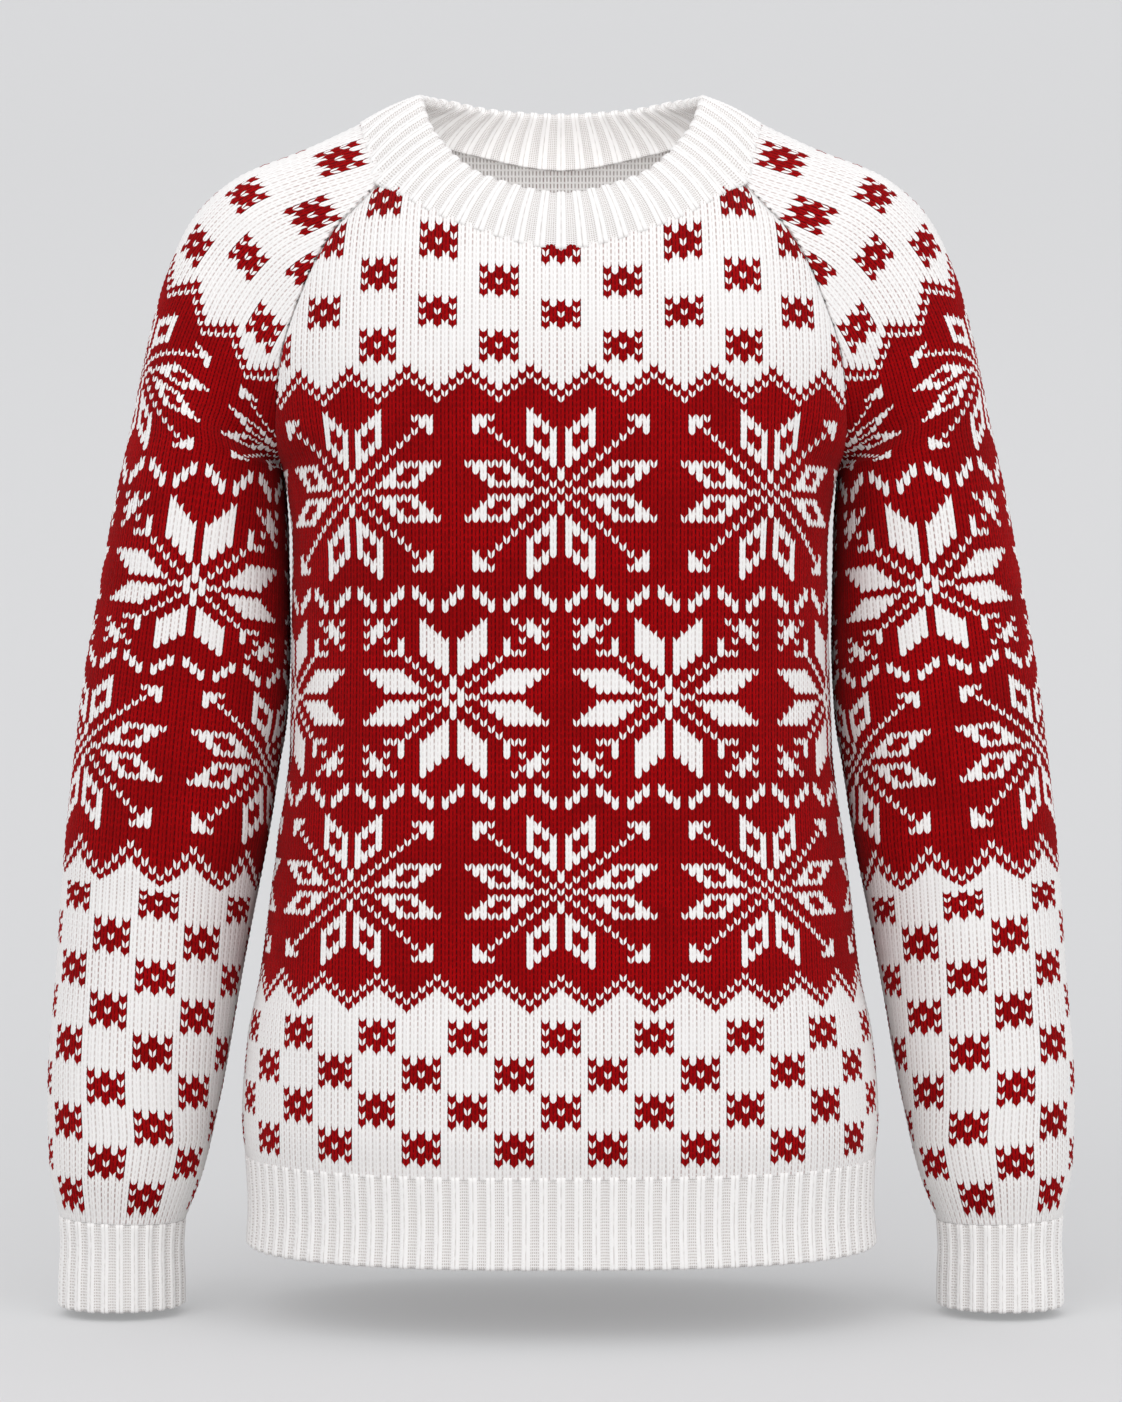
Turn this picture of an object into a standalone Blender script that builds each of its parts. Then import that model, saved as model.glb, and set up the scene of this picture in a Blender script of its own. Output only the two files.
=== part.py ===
"""A long-sleeved raglan pullover in thick knit, filled out as if worn, hollow, with nobody in it.

The front faces -Y, the wearer's left is +X and +Z is up. The origin is the middle of the neck opening
at the shoulder line. Each piece that a knitter makes is its own closed solid: a wall of cloth that
follows the garment's outer surface, with its neighbours one seam gap away. Tables hold the +X side in
millimetres, and the -X side mirrors it.
"""

import math

import bpy
import numpy as np

MM = 0.001

# Driving sizes, in millimetres.
WALL = 3.0
BAND_WALL = 5.0  # the neckband is folded double
SEAM_GAP = 0.3
LIP = 1.1  # how far a free edge is rounded past its last row
HEM_TOP = -566.0
HEM_BOTTOM = -613.0
UNDERARM = np.array((154.6, 0.0, -185.0))
CUFF_LENGTH = 47.0
NECK_HALF_WIDTH = 109.0
RIM_HALF_WIDTH = 80.0
RIM_FRONT = 84.0
RIM_BACK = 58.0
FRONT_RAGLAN_ANGLE = 62.0  # where the raglan seams meet the neckband, round from the front
BACK_RAGLAN_ANGLE = 125.0
SECTION_POWER = 2.6  # 2 would be an ellipse; a filled-out body is a little squarer

# How finely the surfaces are faceted.
ACROSS = 18  # facets across the front, across the back and round a sleeve
YOKE_ROWS = 9
BODY_ROWS = 14
ARM_ROWS = 14


class Table:
    """Rows of named columns, read in between by a smooth curve that never overshoots a row."""

    def __init__(self, columns, rows):
        self.columns = columns.split()
        self.rows = np.array(sorted(rows), float)
        self.slopes = np.array([self.slopes_of(c) for c in range(len(self.columns))]).T

    def slopes_of(self, column):
        key = self.rows[:, 0]
        step = np.diff(key)
        rise = np.diff(self.rows[:, column]) / step
        slopes = np.zeros(len(key))
        slopes[0], slopes[-1] = rise[0], rise[-1]
        for i in range(1, len(key) - 1):
            if rise[i - 1] * rise[i] > 0:
                before, after = 2 * step[i] + step[i - 1], step[i] + 2 * step[i - 1]
                slopes[i] = (before + after) / (before / rise[i - 1] + after / rise[i])
        return slopes

    def at(self, key, column):
        c = self.columns.index(column)
        keys = self.rows[:, 0]
        key = min(max(key, keys[0]), keys[-1])
        i = min(max(int(np.searchsorted(keys, key)) - 1, 0), len(keys) - 2)
        step = keys[i + 1] - keys[i]
        t = (key - keys[i]) / step
        low, high = self.rows[i, c], self.rows[i + 1, c]
        turn_low, turn_high = self.slopes[i, c] * step, self.slopes[i + 1, c] * step
        return (
            low * (1 + 2 * t) * (1 - t) ** 2
            + high * t * t * (3 - 2 * t)
            + turn_low * t * (1 - t) ** 2
            - turn_high * t * t * (1 - t)
        )


# The body below the arms, from the hem up. Widths and depths are from the middle.
BODY = Table(
    "height half_width front back",
    [
        (-615, 175.5, 116, 104),
        (-592, 174.0, 115, 103),
        (-566, 175.0, 116, 104),
        (-545, 176.5, 119, 106),
        (-500, 173.5, 116, 103),
        (-467, 167.0, 112, 100),
        (-418, 160.5, 107, 95),
        (-368, 153.5, 103, 90),
        (-300, 149.0, 102, 88),
        (-230, 148.5, 107, 95),
        (-205, 151.0, 108.7, 97.3),
        (-185, 154.6, 109, 98),
    ],
)

# The yokes, from the underarm up. The edge is the raglan seam, and a corner of 1 lets the cloth run
# straight on over the seam, where a higher one turns it back first.
FRONT_YOKE = Table(
    "height edge edge_depth middle_depth corner",
    [
        (-185, 154.6, 0, 109, 2.6),
        (-178, 155.9, 29, 109, 1.9),
        (-166, 156.8, 45, 109, 1.6),
        (-148, 155.5, 56, 108, 1.44),
        (-126, 152.7, 62, 106, 1.34),
        (-93, 142.0, 63, 100, 1.2),
        (-60, 125.5, 58, 89, 1.05),
        (-39, 107.5, 50, 79, 1.0),
        (-26, 96.3, 44, 72, 1.0),
    ],
)
BACK_YOKE = Table(
    "height edge edge_depth middle_depth corner",
    [
        (-185, 154.6, 0, 98, 2.6),
        (-178, 155.9, 27, 98, 1.8),
        (-166, 157.0, 42, 98.5, 1.5),
        (-148, 156.0, 54, 99, 1.35),
        (-126, 153.5, 62, 98.5, 1.25),
        (-93, 143.5, 66, 95, 1.15),
        (-60, 127.5, 62, 87, 1.05),
        (-26, 110.0, 54, 75, 1.0),
        (-5, 99.0, 45, 63, 1.0),
        (12, 89.3, 36, 52, 1.0),
    ],
)

# The neck, by the angle round it from the front: the seam under the band, and the band's folded rim.
# The first and last rows repeat their neighbours on the far side, so that the middles are level.
NECK = Table(
    "angle seam_height rim_height",
    [
        (-30, -56.0, -32.0),
        (0, -71.0, -42.5),
        (30, -56.0, -32.0),
        (62, -26.0, -3.0),
        (90, 10.5, 24.5),
        (125, 12.0, 27.5),
        (150, 3.0, 24.5),
        (180, -5.0, 22.5),
        (210, 3.0, 24.5),
    ],
)

# The sleeve, from the neckband to the cuff. seam is how far down the raglan seam a row starts, outer
# is the ridge over the shoulder and down the arm, inner is the underarm line, turn is the way the
# cloth leaves the seam (90 is straight to the front), and reach sets how full it is.
SLEEVE = Table(
    "row seam outer_x outer_z inner_x inner_z turn reach forward",
    [
        (0, 0.00, 109.5, 10.5, 154.6, -185, -50, 17, 0),
        (1, 0.17, 142.5, -5.0, 154.6, -185, -36, 28, 0),
        (2, 0.34, 182.0, -22.5, 154.6, -185, -32, 38, 0),
        (3, 0.50, 205.7, -45.0, 154.6, -185, -28, 43, 0),
        (4, 0.66, 219.8, -77.0, 154.6, -185, -10, 51, 0),
        (5, 0.83, 231.5, -122.0, 154.6, -185, 28, 61, 0),
        (6, 1.00, 241.0, -166.0, 154.6, -185, 90, 77, 0),
        (7, 1.00, 250.3, -210.0, 151.6, -224, 90, 76, 0),
        (8, 1.00, 258.0, -255.0, 151.2, -270, 90, 73, 0),
        (9, 1.00, 266.0, -305.0, 153.5, -318, 90, 70, -1),
        (10, 1.00, 272.8, -360.0, 161.5, -372, 90, 67, -3),
        (11, 1.00, 278.0, -415.0, 171.0, -426, 90, 63, -6),
        (12, 1.00, 281.7, -470.0, 180.0, -480, 90, 60, -9),
        (13, 1.00, 284.5, -525.0, 189.0, -533, 90, 56, -12),
        (14, 1.00, 283.3, -568.0, 198.0, -573, 90, 51, -14),
        (15, 1.00, 277.5, -598.8, 209.0, -601.6, 90, 41, -15),
    ],
)
UNDERARM_ROW = 6
WRIST_ROW = 15

# The largest folds, on the +X side: soft troughs (minus) and ridges (plus) between two places.
FOLDS = [
    # start, end, depth, half width
    ((150, -62, -196), (104, -98, -150), -2.4, 13),
    ((150, -48, -222), (96, -104, -212), 1.8, 14),
    ((150, 58, -196), (100, 92, -140), -2.6, 14),
    ((158, -22, -345), (214, -52, -372), -2.8, 12),
    ((165, -24, -385), (232, -52, -400), 2.0, 13),
    ((158, 22, -350), (226, 48, -392), -3.0, 13),
]


def fold(point):
    """How far the folds push this place out along its surface."""
    push = 0.0
    for start, end, depth, half_width in FOLDS:
        start, end = np.array(start, float), np.array(end, float)
        place = np.array((abs(point[0]), point[1], point[2]))
        along = np.clip((place - start) @ (end - start) / ((end - start) @ (end - start)), 0, 1)
        away = np.linalg.norm(place - start - along * (end - start)) / half_width
        push += depth * math.exp(-away * away) * (1 - 0.5 * along)
    return push


def sign_power(value, power):
    return math.copysign(abs(value) ** power, value)


def body_point(height, turn, side):
    """A place on the body below the arms. turn goes from -90 at one side seam to 90 at the other."""
    angle = math.radians(turn)
    depth = BODY.at(height, "front" if side < 0 else "back")
    power = 2 / SECTION_POWER
    return np.array(
        (
            BODY.at(height, "half_width") * sign_power(math.sin(angle), power),
            side * depth * abs(math.cos(angle)) ** power,
            height,
        )
    )


def yoke_depth(yoke, x, height):
    """How far the cloth is from the middle plane above the underarm."""
    edge = yoke.at(height, "edge_depth")
    share = min(abs(x) / yoke.at(height, "edge"), 1.0)
    swell = max(1 - share**SECTION_POWER, 0.0) ** (1 / yoke.at(height, "corner"))
    return edge + (yoke.at(height, "middle_depth") - edge) * swell


def yoke_point(side, x, height):
    return np.array((x, side * yoke_depth(FRONT_YOKE if side < 0 else BACK_YOKE, x, height), height))


def raglan_seam(side):
    """The +X raglan seam as a function of its share from the neckband, 0, to the underarm, 1."""
    yoke = FRONT_YOKE if side < 0 else BACK_YOKE
    heights = np.linspace(yoke.rows[-1, 0], yoke.rows[0, 0], 200)
    line = np.array([yoke_point(side, yoke.at(z, "edge"), z) for z in heights])
    lengths = np.concatenate(((0,), np.cumsum(np.linalg.norm(np.diff(line, axis=0), axis=1))))

    def place(share):
        return np.array([np.interp(share * lengths[-1], lengths, axis) for axis in line.T])

    return place


SEAM = {-1: raglan_seam(-1), 1: raglan_seam(1)}


def neck_point(angle, side):
    """A place on the seam under the neckband, on the front or the back, by its angle from the front."""
    x = NECK_HALF_WIDTH * math.sin(math.radians(angle))
    return yoke_point(side, x, NECK.at(abs(angle), "seam_height"))


def sleeve_point(row, share):
    """A place on the +X sleeve. share goes from -1 at the back seam, over the ridge at 0, to 1."""
    read = {c: SLEEVE.at(row, c) for c in SLEEVE.columns}
    inner = np.array((read["inner_x"], 0.0, read["inner_z"])) - UNDERARM
    front, back = (SEAM[s](read["seam"]) + inner for s in (-1, 1))
    outer = np.array((read["outer_x"], 0.0, read["outer_z"]))
    outward = outer - (front + back) / 2
    outward[1] = 0
    outward /= np.linalg.norm(outward)
    side = 1 if share < 0 else -1
    deep = np.array((0.0, side, 0.0))
    turn = math.radians(read["turn"])
    start = back if side > 0 else front
    leave = start + read["reach"] * (math.cos(turn) * outward + math.sin(turn) * deep)
    arrive = outer + read["reach"] * deep
    t = 1 - abs(share)
    place = (1 - t) ** 3 * start + 3 * t * (1 - t) ** 2 * leave + 3 * t * t * (1 - t) * arrive
    return place + t**3 * outer + np.array((0.0, read["forward"], 0.0))


def panel_grid(side):
    """The front or the back, row by row from the hem rib to the neckband."""
    shares = np.linspace(-1, 1, ACROSS + 1)
    grid = []
    for height in np.linspace(HEM_TOP, UNDERARM[2], BODY_ROWS + 1):
        grid.append([body_point(height, 90 * s, side) for s in shares])
    low = [p[::2] for p in grid[-1]]
    last = FRONT_RAGLAN_ANGLE if side < 0 else 180 - BACK_RAGLAN_ANGLE
    round_neck = [last * s if side < 0 else math.copysign(180, s) - last * s for s in shares]
    high = [neck_point(a, side) for a in round_neck]
    if side > 0:
        high = [np.array((abs(p[0]) * np.sign(s), p[1], p[2])) for p, s in zip(high, shares)]
    for row in range(1, YOKE_ROWS + 1):
        up = row / YOKE_ROWS
        edge = SEAM[side](1 - up)[::2]
        line = []
        for i, s in enumerate(shares):
            # The sides of the patch pull its inside along, so that rows bend from level to the neck.
            across = (1 - up) * low[i] + up * high[i][::2]
            corner_x = (1 - up) * low[-1][0] + up * high[-1][0]
            corner_z = (1 - up) * low[-1][1] + up * high[-1][2]
            x = across[0] + s * (edge[0] - corner_x)
            z = across[1] + edge[1] - corner_z
            line.append(yoke_point(side, x, z))
        line[0] = SEAM[side](1 - up) * (-1, 1, 1)
        line[-1] = SEAM[side](1 - up)
        grid.append(line)
    grid[-1] = high
    grid[-1][0] = SEAM[side](0) * (-1, 1, 1)
    grid[-1][-1] = SEAM[side](0)
    return grid


def sleeve_rows():
    """The table rows at which a sleeve is faceted: at equal shares of the raglan seam, then even."""
    rows = []
    for share in np.linspace(0, 1, YOKE_ROWS + 1):
        low, high = 0.0, float(UNDERARM_ROW)
        for _ in range(40):
            middle = (low + high) / 2
            low, high = (middle, high) if SLEEVE.at(middle, "seam") < share else (low, middle)
        rows.append(low)
    rows[-1] = float(UNDERARM_ROW)
    return rows + list(np.linspace(UNDERARM_ROW, WRIST_ROW, ARM_ROWS + 1)[1:])


def sleeve_grid():
    shares = np.linspace(-1, 1, ACROSS + 1)
    return [[sleeve_point(row, s) for s in shares] for row in sleeve_rows()]


def cuff_grid(sleeve):
    """The cuff goes on from the sleeve's last row, a little wider at its free end."""
    start = np.array(sleeve[-1])
    middle = start.mean(axis=0)
    grid = [list(start)]
    for drop, swell in ((0.3, 0.975), (0.7, 1.0), (1.0, 1.01)):
        row = middle + (start - middle) * (swell, swell, 1 - drop)
        grid.append(list(row - (0, 0, drop * CUFF_LENGTH)))
    return grid


def hem_grid(side):
    turns = np.linspace(-90, 90, ACROSS + 1)
    heights = (HEM_TOP, -583, -600, HEM_BOTTOM)
    return [[body_point(height, turn, side) for turn in turns] for height in heights]


def rim_point(angle):
    """A place on the neckband's folded rim, by its angle from the front, -180 to 180."""
    turn = math.radians(angle)
    deep = RIM_FRONT if abs(angle) < 90 else RIM_BACK
    height = NECK.at(abs(angle), "rim_height")
    return np.array((RIM_HALF_WIDTH * math.sin(turn), -deep * math.cos(turn), height))


def neckband_grid(front, back, sleeve):
    """The band stands on the seam that the other pieces end at, and leans in to its rim."""
    shares = np.linspace(-1, 1, ACROSS + 1)
    sleeve = sleeve[::-1]
    shoulder = np.interp(shares, (-1, 0, 1), (FRONT_RAGLAN_ANGLE, 90, BACK_RAGLAN_ANGLE))
    seam = [(p, FRONT_RAGLAN_ANGLE * s) for p, s in zip(front, shares)]
    seam += list(zip(sleeve, shoulder))[1:]
    behind = 180 - BACK_RAGLAN_ANGLE
    seam += [(p, 180 - behind * s) for p, s in zip(back[::-1], shares[::-1])][1:]
    seam += [(p * (-1, 1, 1), -a) for p, a in zip(sleeve, shoulder)][::-1][1:-1]
    grid = []
    for up, swell in ((0, 0.0), (0.35, 1.6), (0.7, 1.4), (1, 0.0)):
        row = []
        for place, angle in seam:
            rim = rim_point(angle if angle <= 180 else angle - 360)
            lean = rim - place
            level = np.array((place[0], place[1], 0.0)) / np.linalg.norm(place[:2])
            out = level - lean * (level @ lean) / (lean @ lean)
            row.append(place + up * lean + swell * out / np.linalg.norm(out))
        grid.append(row)
    return grid


class Piece:
    """One knitted piece: its outer surface as a grid of places, and the wall behind it."""

    def __init__(self, name, grid, wall=WALL, ring=False, free_end=False):
        self.name, self.wall, self.free_end = name, wall, free_end
        self.places, self.faces, found = [], [], {}
        numbers = []
        for row in grid:
            line = []
            for place in row:
                key = tuple(np.round(place, 3))
                if key not in found:
                    found[key] = len(self.places)
                    self.places.append(np.array(place, float))
                line.append(found[key])
            numbers.append(line + line[:1] if ring else line)
        for low, high in zip(numbers, numbers[1:]):
            for i in range(len(low) - 1):
                corners = [low[i], low[i + 1], high[i + 1], high[i]]
                self.faces.append([c for n, c in enumerate(corners) if c != corners[n - 1]])
        self.last_row = set(numbers[-1])

    def face_normal(self, face):
        a, b, c = (self.places[face[i]] for i in (0, 1, -1))
        d = self.places[face[2]]
        normal = np.cross(d - a, c - b)
        return normal / np.linalg.norm(normal)

    def normal_sums(self):
        """At each place, its faces' normals added up, each by the angle that the face fills there."""
        sums = np.zeros((len(self.places), 3))
        for face in self.faces:
            normal = self.face_normal(face)
            for n, corner in enumerate(face):
                to_last = self.places[face[n - 1]] - self.places[corner]
                to_next = self.places[face[(n + 1) % len(face)]] - self.places[corner]
                cosine = to_last @ to_next / (np.linalg.norm(to_last) * np.linalg.norm(to_next))
                sums[corner] += math.acos(np.clip(cosine, -1, 1)) * normal
        return sums

    def edges(self):
        """The open edges of the outer surface, each with the direction into the piece."""
        inward = {}
        for face in self.faces:
            normal = self.face_normal(face)
            for a, b in zip(face, face[1:] + face[:1]):
                inward[a, b] = np.cross(normal, self.places[b] - self.places[a])
        return {edge: way for edge, way in inward.items() if edge[::-1] not in inward}

    def mirrored(self, name):
        twin = object.__new__(Piece)
        twin.name, twin.wall, twin.free_end = name, self.wall, self.free_end
        twin.places = [p * (-1, 1, 1) for p in self.places]
        twin.faces = [face[::-1] for face in self.faces]
        twin.last_row = self.last_row
        return twin


def shared_normals(pieces):
    """The normal at each place, which neighbours share, so that their walls part along one mitre."""
    sums = {}
    for piece in pieces:
        for place, total in zip(piece.places, piece.normal_sums()):
            key = tuple(np.round(place, 2))
            sums[key] = sums.get(key, 0) + total
    return {key: total / np.linalg.norm(total) for key, total in sums.items()}


def fold_pieces(pieces):
    """Moves each place out or in by the folds, alike in all the pieces that share it."""
    shared = shared_normals(pieces)
    for piece in pieces:
        keys = [tuple(np.round(p, 2)) for p in piece.places]
        piece.places = [p + fold(p) * shared[k] for p, k in zip(piece.places, keys)]


def along_surface(way, normal):
    """A direction made level with the surface, one unit long."""
    way = way - normal * (way @ normal)
    return way / np.linalg.norm(way)


def build(piece, shared, material):
    """Makes the closed solid of a piece: outer face, inner face and the edges between them."""
    normals = np.array([shared[tuple(np.round(p, 2))] for p in piece.places])
    outer = np.array(piece.places)
    edges = piece.edges()
    seam_ways, free_ways = {}, {}
    for edge, way in edges.items():
        free = piece.free_end and piece.last_row.issuperset(edge)
        ways = free_ways if free else seam_ways
        for corner in edge:
            ways[corner] = ways.get(corner, 0) + way / np.linalg.norm(way)
    for corner, way in seam_ways.items():
        outer[corner] = outer[corner] + SEAM_GAP / 2 * along_surface(way, normals[corner])
    inner = outer - piece.wall * normals
    count = len(outer)
    places = list(outer) + list(inner)
    lips = {}
    for corner, way in free_ways.items():
        lips[corner] = len(places)
        middle = (outer[corner] + inner[corner]) / 2
        places.append(middle - LIP * along_surface(way, normals[corner]))
    faces = [list(face) for face in piece.faces]
    faces += [[corner + count for corner in face[::-1]] for face in piece.faces]
    for a, b in edges:
        if a in lips and b in lips:
            faces.append([b, a, lips[a], lips[b]])
            faces.append([lips[b], lips[a], a + count, b + count])
        elif a in lips or b in lips:
            lip_a, lip_b = ([lips[corner]] if corner in lips else [] for corner in (a, b))
            faces.append([b, a] + lip_a + [a + count, b + count] + lip_b)
        elif tuple(piece.places[a]) < tuple(piece.places[b]):
            # Neighbours cut their mitre across the same way, so that twisted ones don't cross.
            faces += [[b, a, b + count], [a, a + count, b + count]]
        else:
            faces += [[b, a, a + count], [b, a + count, b + count]]
    mesh = bpy.data.meshes.new(piece.name)
    mesh.from_pydata([tuple(p * MM) for p in places], [], faces)
    mesh.materials.append(material)
    mesh.shade_smooth()
    mesh.set_sharp_from_angle(angle=math.radians(40))
    bpy.context.scene.collection.objects.link(bpy.data.objects.new(piece.name, mesh))


def yarn(name, colour):
    material = bpy.data.materials.new(name)
    material.use_nodes = True
    shader = material.node_tree.nodes["Principled BSDF"]
    shader.inputs["Base Color"].default_value = (*colour, 1)
    shader.inputs["Roughness"].default_value = 0.9
    shader.inputs["Metallic"].default_value = 0.0
    return material


WHITE_YARN = (0.84, 0.82, 0.80)
RED_YARN = (0.40, 0.006, 0.012)


def main():
    for item in list(bpy.data.objects):
        bpy.data.objects.remove(item, do_unlink=True)
    front, back, sleeve = panel_grid(-1), panel_grid(1), sleeve_grid()
    left_sleeve = Piece("sleeve_left", sleeve)
    left_cuff = Piece("cuff_left", cuff_grid(sleeve), free_end=True)
    flip = slice(None, None, -1)
    pieces = [
        Piece("front", front),
        Piece("back", [row[flip] for row in back]),
        left_sleeve,
        left_sleeve.mirrored("sleeve_right"),
        Piece("neckband", neckband_grid(front[-1], back[-1], sleeve[0]), BAND_WALL, True, True),
        Piece("hem_rib_front", [row[flip] for row in hem_grid(-1)], free_end=True),
        Piece("hem_rib_back", hem_grid(1), free_end=True),
        left_cuff,
        left_cuff.mirrored("cuff_right"),
    ]
    fold_pieces(pieces)
    shared = shared_normals(pieces)
    patterned = ("front", "back", "sleeve_left", "sleeve_right")
    for piece in pieces:
        colour = RED_YARN if piece.name in patterned else WHITE_YARN
        build(piece, shared, yarn(piece.name + "_yarn", colour))


main()
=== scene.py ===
"""A long-sleeved raglan pullover in thick two-colour knit, filled out as if worn, with nobody in it.

The front faces -Y, the wearer's left is +X and +Z is up. The origin is the middle of the neck opening.
Tables and places are in millimetres and hold the +X side, and the -X side mirrors it. Every stitch is
modelled: each knit column is a row of V-shaped loops, whose two legs are small raised cells.
"""

import math

import bpy
import numpy as np
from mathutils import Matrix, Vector


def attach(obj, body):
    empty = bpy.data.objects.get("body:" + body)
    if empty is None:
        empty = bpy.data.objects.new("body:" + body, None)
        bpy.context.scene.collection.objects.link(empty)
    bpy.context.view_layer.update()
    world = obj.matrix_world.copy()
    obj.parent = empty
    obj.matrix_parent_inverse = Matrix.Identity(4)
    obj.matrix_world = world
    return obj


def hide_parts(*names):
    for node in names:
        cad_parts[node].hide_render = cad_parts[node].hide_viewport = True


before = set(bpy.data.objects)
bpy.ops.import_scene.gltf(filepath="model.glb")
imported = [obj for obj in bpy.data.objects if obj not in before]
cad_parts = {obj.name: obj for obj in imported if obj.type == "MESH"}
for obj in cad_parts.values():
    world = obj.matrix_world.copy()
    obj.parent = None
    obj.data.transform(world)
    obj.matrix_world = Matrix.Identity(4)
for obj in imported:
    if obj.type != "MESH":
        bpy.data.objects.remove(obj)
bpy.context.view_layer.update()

MM = 0.001
WALL = 3.0
BAND_WALL = 5.0
HEM_TOP = -566.0
HEM_BOTTOM = -613.0
UNDERARM = np.array((154.6, 0.0, -185.0))
CUFF_LENGTH = 47.0
NECK_HALF_WIDTH = 109.0
RIM_HALF_WIDTH = 80.0
RIM_FRONT = 84.0
RIM_BACK = 58.0
FRONT_RAGLAN_ANGLE = 62.0
BACK_RAGLAN_ANGLE = 125.0
SECTION_POWER = 2.6
WRIST_ROW = 15

# Knitting.
STITCH = 4.1  # a stitch's width on the body
SLEEVE_STITCH = 4.3
V_DROP = 0.55  # how far the middle of a V hangs below its tips, in rows
LOOP_HEIGHT = 0.62  # how far a leg of a stitch stands proud
END_HEIGHT = 0.26  # the same where one leg runs into the next
BORDER_DEPTH = 0.48  # how deep the groove between two columns is
MIDDLE_DEPTH = 0.10  # how deep the groove down the middle of a column is
HEM_PITCH = 9.1  # from one raised rib to the next
CUFF_PITCH = 8.0
BAND_PITCH = 10.6
RIB_ROW = 3.2  # the height of a row of ribbing
BAND_ROWS = 13.75
SLACK = 0.6  # how much thinner than its solid the cloth of a rib is, before its relief


def curve(low, high, leave, arrive, t):
    """The smooth curve from low to high by share t, with the given rises at its ends."""
    return (
        low * (1 + 2 * t) * (1 - t) ** 2
        + high * t * t * (3 - 2 * t)
        + leave * t * (1 - t) ** 2
        - arrive * t * t * (1 - t)
    )


def lengths_along(line):
    return np.concatenate(((0,), np.cumsum(np.linalg.norm(np.diff(line, axis=0), axis=1))))


def read_line(marks, shares, line):
    """Places on a line of places, where shares says how far along each of them is."""
    return np.stack([np.interp(marks, shares, axis) for axis in line.T], -1)


def between(grid, i, j, a, b):
    """A grid read between its places, at share a from row i and share b from column j."""
    low = grid[i, j] * (1 - b) + grid[i, j + 1] * b
    high = grid[i + 1, j] * (1 - b) + grid[i + 1, j + 1] * b
    return low * (1 - a) + high * a


def unit(vectors):
    return vectors / np.linalg.norm(vectors, axis=-1, keepdims=True)


def stack(*families):
    return np.concatenate([family.reshape(-1, family.shape[-1]) for family in families])


def cells(columns, rows):
    """The column and row numbers of a grid's cells."""
    return np.meshgrid(np.arange(columns), np.arange(rows), indexing="ij")


def put_in_scene(name, data):
    item = bpy.data.objects.new(name, data)
    bpy.context.scene.collection.objects.link(item)
    return item


class Table:
    """Rows of named columns, read in between by a smooth curve that never overshoots a row."""

    def __init__(self, columns, rows):
        self.columns = columns.split()
        self.rows = np.array(sorted(rows), float)
        self.slopes = np.array([self.slopes_of(c) for c in range(len(self.columns))]).T

    def slopes_of(self, column):
        key = self.rows[:, 0]
        step = np.diff(key)
        rise = np.diff(self.rows[:, column]) / step
        slopes = np.zeros(len(key))
        slopes[0], slopes[-1] = rise[0], rise[-1]
        for i in range(1, len(key) - 1):
            if rise[i - 1] * rise[i] > 0:
                before, after = 2 * step[i] + step[i - 1], step[i] + 2 * step[i - 1]
                slopes[i] = (before + after) / (before / rise[i - 1] + after / rise[i])
        return slopes

    def at(self, key, column):
        c = self.columns.index(column)
        keys = self.rows[:, 0]
        key = np.clip(key, keys[0], keys[-1])
        i = np.clip(np.searchsorted(keys, key) - 1, 0, len(keys) - 2)
        step = keys[i + 1] - keys[i]
        t = (key - keys[i]) / step
        leave, arrive = self.slopes[i, c] * step, self.slopes[i + 1, c] * step
        return curve(self.rows[i, c], self.rows[i + 1, c], leave, arrive, t)


BODY = Table("height half_width front back", [
    (-615, 175.5, 116, 104),
    (-592, 174.0, 115, 103),
    (-566, 175.0, 116, 104),
    (-545, 176.5, 119, 106),
    (-500, 173.5, 116, 103),
    (-467, 167.0, 112, 100),
    (-418, 160.5, 107, 95),
    (-368, 153.5, 103, 90),
    (-300, 149.0, 102, 88),
    (-230, 148.5, 107, 95),
    (-205, 151.0, 108.7, 97.3),
    (-185, 154.6, 109, 98),
])
FRONT_YOKE = Table("height edge edge_depth middle_depth corner", [
    (-185, 154.6, 0, 109, 2.6),
    (-178, 155.9, 29, 109, 1.9),
    (-166, 156.8, 45, 109, 1.6),
    (-148, 155.5, 56, 108, 1.44),
    (-126, 152.7, 62, 106, 1.34),
    (-93, 142.0, 63, 100, 1.2),
    (-60, 125.5, 58, 89, 1.05),
    (-39, 107.5, 50, 79, 1.0),
    (-26, 96.3, 44, 72, 1.0),
])
BACK_YOKE = Table("height edge edge_depth middle_depth corner", [
    (-185, 154.6, 0, 98, 2.6),
    (-178, 155.9, 27, 98, 1.8),
    (-166, 157.0, 42, 98.5, 1.5),
    (-148, 156.0, 54, 99, 1.35),
    (-126, 153.5, 62, 98.5, 1.25),
    (-93, 143.5, 66, 95, 1.15),
    (-60, 127.5, 62, 87, 1.05),
    (-26, 110.0, 54, 75, 1.0),
    (-5, 99.0, 45, 63, 1.0),
    (12, 89.3, 36, 52, 1.0),
])
YOKES = {-1: FRONT_YOKE, 1: BACK_YOKE}
NECK = Table("angle seam_height rim_height", [
    (-30, -56.0, -32.0),
    (0, -71.0, -42.5),
    (30, -56.0, -32.0),
    (62, -26.0, -3.0),
    (90, 10.5, 24.5),
    (125, 12.0, 27.5),
    (150, 3.0, 24.5),
    (180, -5.0, 22.5),
    (210, 3.0, 24.5),
])
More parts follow.
